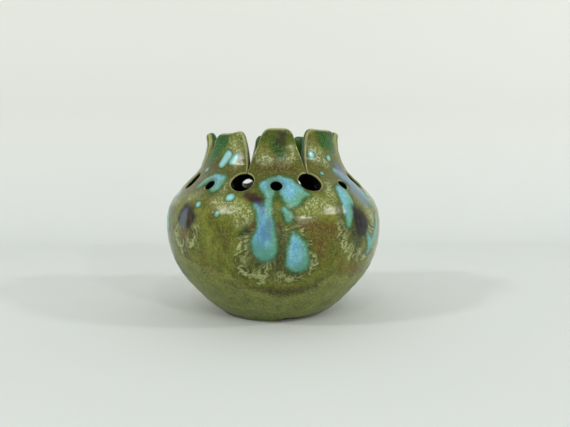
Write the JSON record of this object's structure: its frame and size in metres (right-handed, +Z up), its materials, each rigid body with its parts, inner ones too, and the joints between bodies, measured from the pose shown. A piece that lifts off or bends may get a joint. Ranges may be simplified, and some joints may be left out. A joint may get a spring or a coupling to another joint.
{
  "type": "flower frog",
  "caption": "Small round thrown stoneware pot whose pierced shoulder and collar of cut petals hold flower stems upright.",
  "frame": {"origin": "on the surface that the pot stands on, under the pot's axis", "axes": "+Z up along the pot's axis; -Y is the front, with the narrow petal and the twin blue runs"},
  "size_m": [0.104, 0.104, 0.0869],
  "materials": {
    "belly_glaze": "satin to glossy olive green glaze, speckled, with turquoise and sky blue runs ringed by pale crystals",
    "collar_glaze": "glossy olive and bottle green glaze, pale yellow-green where it thins over the cut edges",
    "foot_glaze": "thin satin olive-grey glaze, wiped from the face that it stands on"
  },
  "bodies": {
    "root": {"bowl": "belly_glaze", "shoulder": "belly_glaze", "petal_front": "collar_glaze", "petal_front_right": "collar_glaze", "petal_right": "collar_glaze", "petal_back_right": "collar_glaze", "petal_back": "collar_glaze", "petal_back_left": "collar_glaze", "petal_left": "collar_glaze", "petal_front_left": "collar_glaze", "foot_front": "foot_glaze", "foot_right": "foot_glaze", "foot_left": "foot_glaze"}
  },
  "joints": []
}
